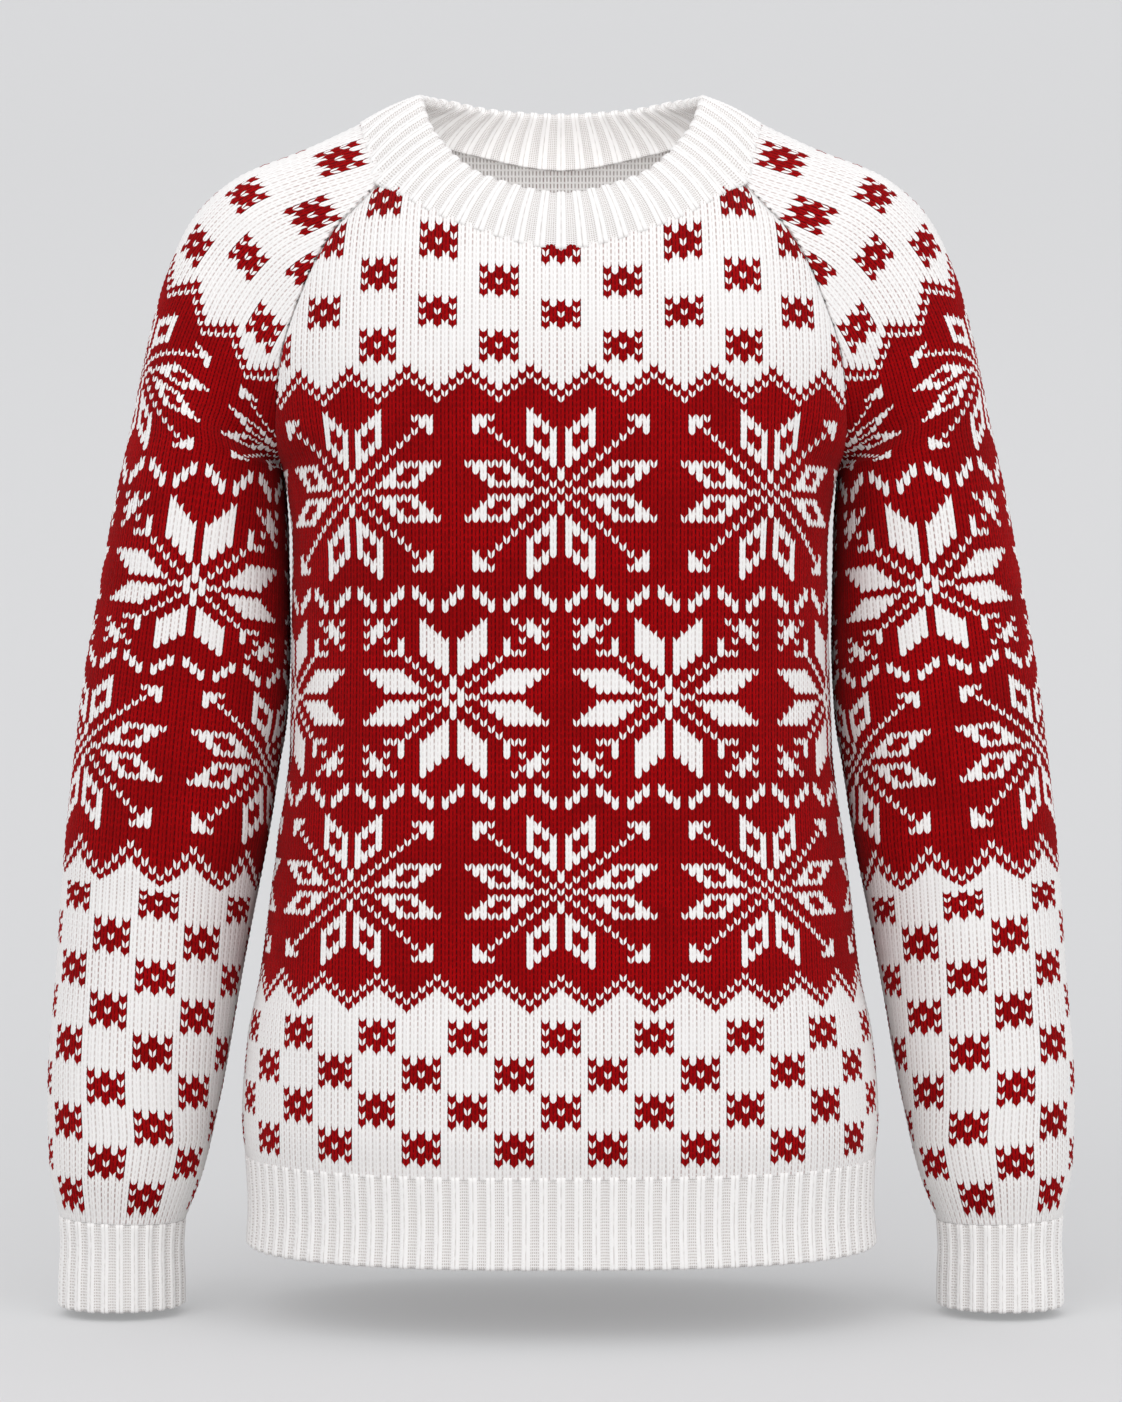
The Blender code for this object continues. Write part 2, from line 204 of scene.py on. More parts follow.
SLEEVE = Table("row seam outer_x outer_z inner_x inner_z turn reach forward", [
    (0, 0.00, 109.5, 10.5, 154.6, -185, -50, 17, 0),
    (1, 0.17, 142.5, -5.0, 154.6, -185, -36, 28, 0),
    (2, 0.34, 182.0, -22.5, 154.6, -185, -32, 38, 0),
    (3, 0.50, 205.7, -45.0, 154.6, -185, -28, 43, 0),
    (4, 0.66, 219.8, -77.0, 154.6, -185, -10, 51, 0),
    (5, 0.83, 231.5, -122.0, 154.6, -185, 28, 61, 0),
    (6, 1.00, 241.0, -166.0, 154.6, -185, 90, 77, 0),
    (7, 1.00, 250.3, -210.0, 151.6, -224, 90, 76, 0),
    (8, 1.00, 258.0, -255.0, 151.2, -270, 90, 73, 0),
    (9, 1.00, 266.0, -305.0, 153.5, -318, 90, 70, -1),
    (10, 1.00, 272.8, -360.0, 161.5, -372, 90, 67, -3),
    (11, 1.00, 278.0, -415.0, 171.0, -426, 90, 63, -6),
    (12, 1.00, 281.7, -470.0, 180.0, -480, 90, 60, -9),
    (13, 1.00, 284.5, -525.0, 189.0, -533, 90, 56, -12),
    (14, 1.00, 283.3, -568.0, 198.0, -573, 90, 51, -14),
    (15, 1.00, 277.5, -598.8, 209.0, -601.6, 90, 41, -15),
])

# Which row of knitting is at which height on the front and back, and at which table row of a sleeve.
# Row 0 is the middle of the large star under the chest.
BODY_KNITTING = Table("knit height", [
    (-82, -580.0), (-78, -566.0), (-73, -550.0), (-67, -529.7), (-61, -510.6), (-55, -491.3),
    (-49, -472.6), (-45, -460.0), (-31, -414.8), (-15.5, -364.8), (0, -311.9), (15.5, -260.0),
    (31, -203.0), (45, -154.5), (49, -142.0), (54, -125.0), (60, -105.8), (66, -86.5),
    (72, -65.3), (78, -42.5), (82, -28.5), (94, 13.0), (98, 27.0),
])
SLEEVE_KNITTING = Table("knit row", [
    (-110, 15.6), (-107, 15.0), (-103, 14.45), (-97, 13.88), (-91, 13.37), (-85, 12.93),
    (-79, 12.53), (-73, 12.16), (-67, 11.79), (-61, 11.43), (-55, 11.05), (-49, 10.80),
    (-45, 10.50), (-31, 9.58), (-15.5, 8.68), (0, 7.75), (15.5, 6.45), (31, 5.12), (47, 4.0),
    (54, 3.22), (60, 2.6), (66, 2.0), (72, 1.33), (78, 0.55), (82, 0.0), (86, -0.5),
])
GATHER_ROW = 13.5  # the table row of a sleeve below which its columns are drawn together
YOKE_SAG = 7.0  # how far the rows above the star field sag in the middle of the front
SAG_ROWS = (47, 72)  # where the sag starts, and where it is whole
SAG_HALF_WIDTH = 90

# Folds on the +X side: soft troughs (minus) and ridges (plus) between two places.
FOLDS = [
    # start, end, depth, half width
    ((150, -62, -196), (104, -98, -150), -2.4, 13),
    ((150, -48, -222), (96, -104, -212), 1.8, 14),
    ((150, 58, -196), (100, 92, -140), -2.6, 14),
    ((158, -22, -345), (214, -52, -372), -2.8, 12),
    ((165, -24, -385), (232, -52, -400), 2.0, 13),
    ((158, 22, -350), (226, 48, -392), -3.0, 13),
]


def fold_push(places):
    """How far the folds push these places out along their surface."""
    mirrored = places.copy()
    mirrored[..., 0] = np.abs(mirrored[..., 0])
    push = np.zeros(places.shape[:-1])
    for start, end, depth, half_width in FOLDS:
        start, end = np.array(start, float), np.array(end, float)
        way = end - start
        along = np.clip((mirrored - start) @ way / (way @ way), 0, 1)
        away = np.linalg.norm(mirrored - start - along[..., None] * way, axis=-1) / half_width
        push += depth * np.exp(-away * away) * (1 - 0.5 * along)
    return push


def soft_waves(places):
    """Slow swells of the cloth, different on every side, by place."""
    x, y, z = (places[..., n] for n in range(3))
    waves = 0.55 * np.sin(x / 31 + 1.3 * np.sin(z / 77 + 0.4) + y / 55)
    waves += 0.45 * np.sin(z / 43 + 1.7 * np.sin(x / 83 - 1.1) + y / 39 + 2.0)
    return waves + 0.3 * np.sin(x / 17 - z / 61 + 0.7) * np.sin(z / 29 + y / 47)


def raglan_line(side):
    """The +X raglan seam: its places, evenly by share from the neckband, 0, to the underarm, 1."""
    yoke = YOKES[side]
    heights = np.linspace(yoke.rows[-1, 0], yoke.rows[0, 0], 400)
    line = np.stack((yoke.at(heights, "edge"), side * yoke.at(heights, "edge_depth"), heights), -1)
    lengths = lengths_along(line)
    return line, lengths / lengths[-1]


RAGLAN = {side: raglan_line(side) for side in (-1, 1)}


def raglan_place(side, share):
    line, shares = RAGLAN[side]
    return read_line(share, shares, line)


def body_level(height, side, count):
    """One level line of the front or back below the arms, from its middle to the +X side seam."""
    turn = np.radians(np.linspace(0, 90, count))
    depth = BODY.at(height, "front" if side < 0 else "back")
    power = 2 / SECTION_POWER
    x = BODY.at(height, "half_width") * np.sin(turn) ** power
    y = side * depth * np.abs(np.cos(turn)) ** power
    return np.stack((x, y, np.full(count, height)), -1)


def yoke_depth(yoke, height, share):
    """How deep a level line is, by share from its middle, 0, to the raglan seam, 1."""
    edge = yoke.at(height, "edge_depth")
    swell = np.maximum(1 - share**SECTION_POWER, 0.0) ** (1 / yoke.at(height, "corner"))
    return edge + (yoke.at(height, "middle_depth") - edge) * swell


def yoke_level(height, side, count):
    """One level line above the underarm, from the middle to the raglan seam."""
    yoke = YOKES[side]
    share = np.sin(np.linspace(0, math.pi / 2, count))
    y = side * yoke_depth(yoke, height, share)
    return np.stack((yoke.at(height, "edge") * share, y, np.full(count, height)), -1)


def half_sleeve_line(row, side, count):
    """One row of the +X sleeve, from its outer ridge to the seam in front (-1) or behind (1)."""
    read = {c: SLEEVE.at(row, c) for c in SLEEVE.columns}
    inner = np.array((read["inner_x"], 0.0, read["inner_z"])) - UNDERARM
    ends = {s: raglan_place(s, read["seam"]) + inner for s in (-1, 1)}
    outer = np.array((read["outer_x"], 0.0, read["outer_z"]))
    outward = outer - (ends[-1] + ends[1]) / 2
    outward[1] = 0
    outward /= np.linalg.norm(outward)
    deep = np.array((0.0, side, 0.0))
    turn = math.radians(read["turn"])
    leave = ends[side] + read["reach"] * (math.cos(turn) * outward + math.sin(turn) * deep)
    arrive = outer + read["reach"] * deep
    t = 1 - np.linspace(0, 1, count)[:, None]
    line = (1 - t) ** 3 * ends[side] + 3 * t * (1 - t) ** 2 * leave
    line = line + 3 * t * t * (1 - t) * arrive + t**3 * outer
    return line + (0.0, read["forward"], 0.0)


def even(line, count):
    """The same line with its places at equal distances, and its length."""
    lengths = lengths_along(line)
    marks = np.linspace(0, lengths[-1], count)
    return read_line(marks, lengths, line), lengths[-1]


FINE = 141  # places along each level line of a surface


class Surface:
    """Cloth as level lines with places at equal distances, read in between. Lines run from one edge,
    over a middle at arc 0, to the other edge, and arc is the distance from that middle."""

    def __init__(self, keys, lines_of, outward):
        self.keys = np.array(keys, float)
        grid, low, high = [], [], []
        for key in self.keys:
            (left, left_length), (right, right_length) = (even(h, FINE) for h in lines_of(key))
            grid.append(np.concatenate((left[::-1], right[1:])))
            low.append(-left_length)
            high.append(right_length)
        self.grid, self.low, self.high = np.array(grid), np.array(low), np.array(high)
        self.outward = outward
        self.normals = self.grid_normals()
        push = fold_push(self.grid) + soft_waves(self.grid)
        self.grid = self.grid + push[..., None] * self.normals
        self.normals = self.grid_normals()

    def grid_normals(self):
        along = np.gradient(self.grid, axis=1)
        up = np.gradient(self.grid, self.keys, axis=0)
        normals = np.cross(along, up) * self.outward
        length = np.linalg.norm(normals, axis=-1, keepdims=True)
        return normals / np.maximum(length, 1e-9)

    def ends(self, key):
        return np.interp(key, self.keys, self.low), np.interp(key, self.keys, self.high)

    def at(self, key, arc):
        """Places and normals. key and arc are arrays of one shape."""
        level = np.interp(key, self.keys, np.arange(len(self.keys)))
        low, high = self.ends(key)
        share = np.where(arc < 0, -arc / np.minimum(low, -1e-6), arc / np.maximum(high, 1e-6))
        column = (FINE - 1) * (1 + np.clip(share, -1, 1))
        i = np.clip(level.astype(int), 0, len(self.keys) - 2)
        j = np.clip(column.astype(int), 0, 2 * FINE - 3)
        a, b = (level - i)[..., None], (column - j)[..., None]
        return between(self.grid, i, j, a, b), unit(between(self.normals, i, j, a, b))


MIRROR = np.array((-1.0, 1.0, 1.0))


def panel_surface(side):
    top = -26.0 if side < 0 else 12.0
    heights = np.concatenate((np.linspace(HEM_TOP, -185, 130), np.linspace(-184, top, 90)))

    def lines_of(height):
        level = body_level if height <= -185 else yoke_level
        right = level(height, side, 500)
        return right * MIRROR, right

    return Surface(heights, lines_of, outward=1 if side < 0 else -1)


def sleeve_surface():
    rows = np.linspace(0, WRIST_ROW, 260)

    def lines_of(row):
        return half_sleeve_line(row, 1, 400), half_sleeve_line(row, -1, 400)

    return Surface(rows, lines_of, outward=1)


# ---- Charts: which yarn each stitch is in. 1 is white and 0 is red. ----


def spots(*runs):
    return {(column, row) for column, rows in runs for row in rows}


def both_ways(stitches):
    return stitches | {(row, column) for column, row in stitches}


OPEN_STAR = both_ways(
    spots((0, (0, 2, 3)), (1, range(4, 10)), (2, (5, 6, 9, 10)), (3, (6, 7, 10, 11)))
    | spots((4, range(7, 13)), (9, (11,)), (10, (11,)))
    | {(k, k) for k in range(1, 12)}
)
FULL_STAR = both_ways(
    spots((0, (1, 2, 3)), (1, range(4, 10)), (2, range(5, 11)), (3, range(6, 12)))
    | spots((4, range(7, 13)), (7, (7, 8, 9)), (8, (12,)), (9, (9, 11)), (10, (10, 11, 12)))
    | {(k, k) for k in (1, 2, 3, 4, 5, 6, 11, 12)}
)
BLOCK_ROWS = ("X.X.X", ".XXX.", "XX.XX", ".XXX.", "X.X.X")
BLOCK = {(c - 2, r - 2) for r, row in enumerate(BLOCK_ROWS) for c, s in enumerate(row) if s == "X"}
STAR_REACH = 12


def chart_lookup(stitches, reach):
    table = np.zeros((2 * reach + 1, 2 * reach + 1), bool)
    for column, row in stitches:
        for c in {column, -column}:
            for r in {row, -row}:
                table[c + reach, r + reach] = True
    return table


OPEN_STAR = chart_lookup(OPEN_STAR, STAR_REACH)
FULL_STAR = chart_lookup(FULL_STAR, STAR_REACH)
BLOCK = chart_lookup(BLOCK, 2)


def motif(table, column, row, centre_row, pitch, shift):
    """Where a motif that repeats every pitch columns along centre_row has a stitch."""
    reach = len(table) // 2
    across = (column - shift + pitch // 2) % pitch - pitch // 2
    up = row - centre_row
    inside = (np.abs(across) <= reach) & (np.abs(up) <= reach)
    return inside & table[np.clip(across, -reach, reach) + reach, np.clip(up, -reach, reach) + reach]


ZIGZAG_PERIOD = 8
FIELD_EDGE = 45  # the first row of the zigzags, counted up or down from row 0
STAR_REPEAT = 28
YOKE_BLOCKS, YOKE_PITCH = (54, 60, 66, 72, 78, 84, 90), 16
LOWER_BLOCKS, LOWER_PITCH = (55, 61, 67, 73, 79, 85, 91, 97, 103), 12


def chart(column, row, star_shift=0, block_shift=0, lowest_block=-73):
    """The yarn of each stitch. The shifts move stars and lower blocks sideways, as on the sleeves."""
    fold = np.abs((column + ZIGZAG_PERIOD // 2) % ZIGZAG_PERIOD - ZIGZAG_PERIOD // 2)
    white = (row == FIELD_EDGE + fold) | (row >= FIELD_EDGE + fold + 2)
    white |= (row == -FIELD_EDGE - fold) | (row <= -FIELD_EDGE - fold - 2)
    shifted = column - star_shift
    white |= motif(OPEN_STAR, shifted, row, 31, STAR_REPEAT, 0)
    white |= motif(OPEN_STAR, shifted, row, -31, STAR_REPEAT, 0)
    white |= motif(FULL_STAR, shifted, row, 0, STAR_REPEAT, STAR_REPEAT // 2)
    for lowest in (14, -17):
        step = row - lowest - (fold - 1)
        white |= (fold >= 1) & (fold <= 3) & (step >= 0) & (step <= 1)
    for n, centre in enumerate(YOKE_BLOCKS):
        shift = YOKE_PITCH // 2 if n % 2 == 0 else 0
        white &= ~motif(BLOCK, column, row, centre, YOKE_PITCH, shift)
    for n, centre in enumerate(LOWER_BLOCKS):
        shift = block_shift + (0 if n % 2 == 0 else LOWER_PITCH // 2)
        if -centre >= lowest_block:
            white &= ~motif(BLOCK, column, row, -centre, LOWER_PITCH, shift)
    return white


# ---- Meshes ----


class Cloth:
    """Gathers the parts of one piece's mesh: its places, its faces and what each face is made of."""

    def __init__(self, name, joined=False):
        self.name, self.joined = name, joined
        self.parts, self.count = [], 0

    def add(self, places, loops, uvs, faces, yarns, kind, mixed=0):
        """loops is each place's count of stitches across and rows up, and mixed is 1 where both yarns
        meet, which its material reads."""
        places = places.reshape(-1, 3)
        mixed = np.broadcast_to(mixed, len(places))
        at_place = np.column_stack((loops.reshape(-1, 2), mixed, uvs.reshape(-1, 2)))
        faces = np.asarray(faces)
        of_face = np.column_stack((np.broadcast_to(yarns, len(faces)), np.full(len(faces), kind)))
        self.parts.append((places, at_place, faces + self.count, of_face.astype(float)))
        self.count += len(places)

    def turned(self, name, mirror=(1, 1, 1)):
        """The same with its faces turned over, and mirrored if a mirror is given."""
        twin = Cloth(name, self.joined)
        twin.parts = [(p * mirror, at, f[:, ::-1], of) for p, at, f, of in self.parts]
        return twin

    def build(self, materials):
        """The mesh. Places that coincide are one in a joined cloth; loops and maps are by face corner."""
        places, at_place, faces, of_face = zip(*self.parts)
        sizes = np.concatenate([np.full(len(f), f.shape[1]) for f in faces])
        used, corners = np.unique(np.concatenate([f.ravel() for f in faces]), return_inverse=True)
        corners = corners.ravel()
        places = np.concatenate(places)[used] * MM
        at_corner = np.concatenate(at_place)[used][corners]
        yarns, kinds = np.concatenate(of_face).T
        if self.joined:
            _, first, same = np.unique(
                np.round(places, 7), axis=0, return_index=True, return_inverse=True
            )
            places, corners = places[first], same.ravel()[corners]
        mesh = bpy.data.meshes.new(self.name)
        mesh.vertices.add(len(places))
        mesh.vertices.foreach_set("co", places.ravel())
        mesh.loops.add(len(corners))
        mesh.loops.foreach_set("vertex_index", corners.astype(np.int32))
        mesh.polygons.add(len(sizes))
        starts = np.concatenate(((0,), np.cumsum(sizes)[:-1]))
        mesh.polygons.foreach_set("loop_start", starts.astype(np.int32))
        mesh.update(calc_edges=True)
        for material in materials:
            mesh.materials.append(material)
        mesh.polygons.foreach_set("material_index", kinds.astype(np.int32))
        mesh.polygons.foreach_set("use_smooth", np.ones(len(sizes), bool))
        mesh.attributes.new("yarn", "FLOAT", "FACE").data.foreach_set("value", yarns)
        loop = mesh.attributes.new("loop", "FLOAT_VECTOR", "CORNER")
        loop.data.foreach_set("vector", at_corner[:, :3].ravel())
        mesh.uv_layers.new(name="OFBake").uv.foreach_set("vector", at_corner[:, 3:].ravel())
        mesh.validate()
        mesh.update()
        return put_in_scene(self.name, mesh)


def lattice_faces(columns, rows, middles):
    """Each cell between lattice lines as four triangles round its raised middle. Cells are numbered
    by column line and row line; middles is the number of the first middle."""
    c, r = cells(columns - 1, rows - 1)
    a, b = c * rows + r, (c + 1) * rows + r
    middle = middles + c * (rows - 1) + r
    quads = ((a, b), (b, b + 1), (b + 1, a + 1), (a + 1, a))
    return np.stack([np.stack((p, q, middle), -1) for p, q in quads], axis=2)


class Panel:
    """Knitting laid on a surface: where stitch (column, row) is, and where the piece ends."""

    def __init__(self, surface, knitting, stitch, neck_side=0, gathered_from=None):
        self.surface, self.knitting, self.stitch = surface, knitting, stitch
        self.neck_side = neck_side
        self.key_name = knitting.columns[1]
        keys = surface.keys
        self.key_range = keys[0], keys[-1]
        self.gather_keys, self.gather = np.array(self.key_range), np.ones(2)
        if gathered_from is not None:
            self.gather_keys = np.linspace(gathered_from, keys[-1], 20)
            low, high = surface.ends(self.gather_keys)
            self.gather = (high - low) / (high[0] - low[0])

    def arc(self, column, key):
        """How far a column is from the middle one. Columns are drawn together where a cuff gathers them."""
        return column * self.stitch * np.interp(key, self.gather_keys, self.gather)

    def key(self, column, row):
        key = self.knitting.at(row, self.key_name)
        if self.neck_side < 0:
            rise = np.clip((row - SAG_ROWS[0]) / (SAG_ROWS[1] - SAG_ROWS[0]), 0, 1)
            sag = YOKE_SAG * rise * rise * (3 - 2 * rise)
            key = key - sag * np.clip(1 - (column * self.stitch / SAG_HALF_WIDTH) ** 2, 0, 1)
        return key

    def past_neck(self, column, row):
        """How far a place is past the seam under the neckband, in millimetres; minus is inside."""
        key = self.key(column, row)
        if not self.neck_side:
            return np.maximum(key - self.key_range[1], self.key_range[0] - key)
        low, high = self.surface.ends(np.clip(key, *self.key_range))
        arc = np.clip(self.arc(column, key), low, high)
        place, _ = self.surface.at(np.clip(key, *self.key_range), arc)
        angle = np.degrees(np.arcsin(np.clip(np.abs(place[..., 0]) / NECK_HALF_WIDTH, 0, 1)))
        angle = angle if self.neck_side < 0 else 180 - angle
        return np.maximum(key - NECK.at(angle, "seam_height"), self.key_range[0] - key)

    def past_side(self, column, row):
        key = np.clip(self.key(column, row), *self.key_range)
        low, high = self.surface.ends(key)
        arc = self.arc(column, key)
        return np.maximum(arc - high, low - arc)

    def inside(self, column, row):
        return (self.past_neck(column, row) < 0) & (self.past_side(column, row) < 0)

    def clamp(self, column, row, reach=4.0):
        """Moves places that are past an edge back to it."""
        column, row = column.copy(), row.copy()
        sign = np.where(row > 0, 1.0, -1.0)
        for _ in range(2):
            key = np.clip(self.key(column, row), *self.key_range)
            low, high = self.surface.ends(key)
            width = self.arc(1.0, key)
            column = np.clip(column, low / width, high / width)
            near, far = np.zeros_like(row), np.full_like(row, reach)
            out = self.past_neck(column, row) > 0
            for _ in range(14):
                middle = (near + far) / 2
                still = self.past_neck(column, row - sign * middle) > 0
                near, far = np.where(still, middle, near), np.where(still, far, middle)
            row = np.where(out, row - sign * far, row)
        return column, row

    def at(self, column, row, push):
        key = np.clip(self.key(column, row), *self.key_range)
        low, high = self.surface.ends(key)
        arc = np.clip(self.arc(column, key), low, high)
        place, normal = self.surface.at(key, arc)
        return place + np.asarray(push)[..., None] * normal


THICKNESS = 2.3  # from the stitches' feet to the wrong side
SEAM_TUCK = 1.5  # how far cloth is drawn in at a seam
SEAM_REACH = 3.2
END_TUCK = 0.5  # the same where a rib or the neckband goes on
UNEVEN, UNEVEN_TOP = 0.04, 0.06  # how uneven the stitches are, where they meet and on top
OUTSIDE_MAP, INSIDE_MAP = (0.02, 0.74), (0.79, 0.19)  # start and width of each on the flat map
COARSE = 3.0  # stitches to a face on the wrong side


def any_corner(flags):
    """For each cell of a grid, whether any of its corners is flagged."""
    return flags[:-1, :-1] | flags[1:, :-1] | flags[:-1, 1:] | flags[1:, 1:]


def knit_panel(name, panel, columns, rows, seed, **chart_facts):
    """A panel with every stitch on its outside, a plainer wrong side, and an edge between them."""
    rng = np.random.default_rng(seed)
    half = np.arange(2 * columns[0] - 1, 2 * columns[1] + 2)
    lines = np.arange(rows[0], rows[1] + 2) - 0.5
    k, r = np.meshgrid(half, lines, indexing="ij")
    border = k % 2 != 0
    column = k / 2.0
    row = r + np.where(border, V_DROP / 2, -V_DROP / 2)
    inside = panel.inside(column, row)
    keep = any_corner(inside)
    stitch_column = np.floor((k[:-1, :-1] + 1) / 2).astype(int)
    stitch_row = np.round(r[:-1, :-1] + 0.5).astype(int)
    white = chart(stitch_column, stitch_row, **chart_facts)

    def tuck(columns_at, rows_at):
        side = np.exp(-((np.maximum(-panel.past_side(columns_at, rows_at), 0) / SEAM_REACH) ** 2))
        end = np.exp(-((np.maximum(-panel.past_neck(columns_at, rows_at), 0) / SEAM_REACH) ** 2))
        return -np.maximum(SEAM_TUCK * side * (1 - 0.8 * end), END_TUCK * end)

    # Three families of places: the corners of the legs, the middles of their ends, and their tops.
    column_c, row_c = panel.clamp(column, row)
    end_c, end_r = (column_c[:-1] + column_c[1:]) / 2, (row_c[:-1] + row_c[1:]) / 2
    end_c, end_r = panel.clamp(end_c, end_r)
    top_c, top_r = (end_c[:, :-1] + end_c[:, 1:]) / 2, (end_r[:, :-1] + end_r[:, 1:]) / 2
    corner_push = np.where(border, -BORDER_DEPTH, -MIDDLE_DEPTH) + UNEVEN * rng.normal(0, 1, k.shape)
    end_push = END_HEIGHT + UNEVEN * rng.normal(0, 1, end_c.shape)
    top_push = LOOP_HEIGHT + UNEVEN_TOP * rng.normal(0, 1, top_c.shape)
    outer = panel.at(column_c, row_c, corner_push + tuck(column_c, row_c))
    ends = panel.at(end_c, end_r, end_push + tuck(end_c, end_r))
    tops = panel.at(top_c, top_r, top_push + tuck(top_c, top_r))

    # Where both yarns meet, so that a leg is drawn narrower beside the other yarn.
    def meets(cells):
        """For each corner, whether its four cells are not all alike, and so for each leg's end."""
        wide = np.pad(cells.astype(int), 1, mode="edge")
        total = wide[:-1, :-1] + wide[1:, :-1] + wide[:-1, 1:] + wide[1:, 1:]
        pair = np.pad(cells.astype(int), ((0, 0), (1, 1)), mode="edge")
        return (total % 4 != 0), (pair[:, :-1] != pair[:, 1:])

    corner_mixed, end_mixed = meets(white)
    cloth = Cloth(name)
    span_c = (half[0] / 2, half[-1] / 2)
    span_r = (lines[0] - 1, lines[-1] + 1)

    def spread(c, q, start, width):
        across = start + width * (c - span_c[0]) / (span_c[1] - span_c[0])
        return np.stack((across, 0.02 + 0.96 * (q - span_r[0]) / (span_r[1] - span_r[0])), -1)

    count = len(lines)
    n, m = cells(len(half) - 1, count - 1)
    a, b = n * count + m, (n + 1) * count + m
    low_end = k.size + n * count + m
    top = k.size + end_c.size + n * (count - 1) + m
    ring_of = (a, low_end, b, b + 1, low_end + 1, a + 1)
    faces = np.stack(
        [np.stack((ring_of[i], ring_of[(i + 1) % 6], top), -1) for i in range(6)], axis=2
    )[keep]
    loops = stack(
        np.stack((column, r), -1),
        np.stack((k[:-1] / 2 + 0.25, r[:-1]), -1),
        np.stack((k[:-1, :-1] / 2 + 0.25, r[:-1, :-1] + 0.5), -1),
    )
    families = ((column_c, row_c), (end_c, end_r), (top_c, top_r))
    uvs = stack(*(spread(c, q, *OUTSIDE_MAP) for c, q in families))
    mixed = np.concatenate((corner_mixed.ravel(), end_mixed.ravel(), np.zeros(top_c.size)))
    yarns = np.repeat(white[keep], 6)
    cloth.add(stack(outer, ends, tops), loops, uvs, faces.reshape(-1, 3), yarns, 0, mixed)

    # The edge: every side of a kept cell that no other kept cell shares, drawn back to the wrong side.
    places = stack(outer, ends)
    flat_c = np.concatenate((column_c.ravel(), end_c.ravel()))
    flat_r = np.concatenate((row_c.ravel(), end_r.ravel()))
    edges = {}
    sides = [(ring_of[i][keep], ring_of[(i + 1) % 6][keep]) for i in range(6)]
    for first, second in sides:
        for p, q, w in zip(first.tolist(), second.tolist(), white[keep].tolist()):
            if (q, p) in edges:
                del edges[q, p]
            else:
                edges[p, q] = w
    ring = sorted({p for edge in edges for p in edge})
    place_of = {p: i for i, p in enumerate(ring)}
    rim_c, rim_r = flat_c[ring], flat_r[ring]
    back = panel.at(rim_c, rim_r, -THICKNESS + tuck(rim_c, rim_r))
    rim_uv = spread(rim_c, rim_r, *OUTSIDE_MAP)
    away = unit(rim_uv - (OUTSIDE_MAP[0] + OUTSIDE_MAP[1] / 2, 0.5))
    rim_faces = [
        (place_of[q], place_of[p], place_of[p] + len(ring), place_of[q] + len(ring)) for p, q in edges
    ]
    cloth.add(
        np.concatenate((places[ring], back)),
        np.tile(np.stack((rim_c, rim_r), -1), (2, 1)),
        np.concatenate((rim_uv, rim_uv + 0.006 * away)),
        rim_faces,
        list(edges.values()),
        0,
    )

    # The wrong side.
    coarse_c = np.arange(columns[0] - 1, columns[1] + 4, COARSE)
    coarse_r = np.arange(rows[0] - 1, rows[1] + 4, COARSE)
    cc, rr = np.meshgrid(coarse_c, coarse_r, indexing="ij")
    inner_keep = any_corner(panel.inside(cc, rr))
    ci, ri = panel.clamp(cc, rr, 12.0)
    inner = panel.at(ci, ri, -THICKNESS + tuck(ci, ri))
    n, m = cells(len(coarse_c) - 1, len(coarse_r) - 1)
    corner = n * len(coarse_r) + m
    quad = np.stack((corner, corner + 1, corner + len(coarse_r) + 1, corner + len(coarse_r)), -1)
    inner_white = np.abs(rr[:-1, :-1] + COARSE / 2) > FIELD_EDGE
    uvs = spread(ci, ri, *INSIDE_MAP)
    cloth.add(inner, np.stack((ci, ri), -1), uvs, quad[inner_keep], inner_white[inner_keep], 1)
    return cloth


# ---- Ribbing ----


def rib_profile(share):
    """How far the ribbing stands out across one pitch: a broad raised rib and a narrow hollow."""
    wave = np.cos(2 * math.pi * share)
    return np.tanh(2.0 * (wave + 0.22)) / np.tanh(2.4)


RIB_LINES = np.array((0.0, 0.16, 0.30, 0.5, 0.70, 0.84))  # the lattice lines of one pitch
LIP_STEPS = 4  # faces round the free edge
MIDDLE_DROP = 0.42  # how far the middle of a raised rib hangs below its sides, in rows
INNER_RELIEF = 0.8  # the ribs' height inside, as a share of that outside
KNIT_GROOVE, PURL_RISE = 0.38, 0.28  # down the middle of a rib, and of a hollow
RIB_INSET = 0.3  # how far under the panels' surface a rib's middle is laid, beside half its wall


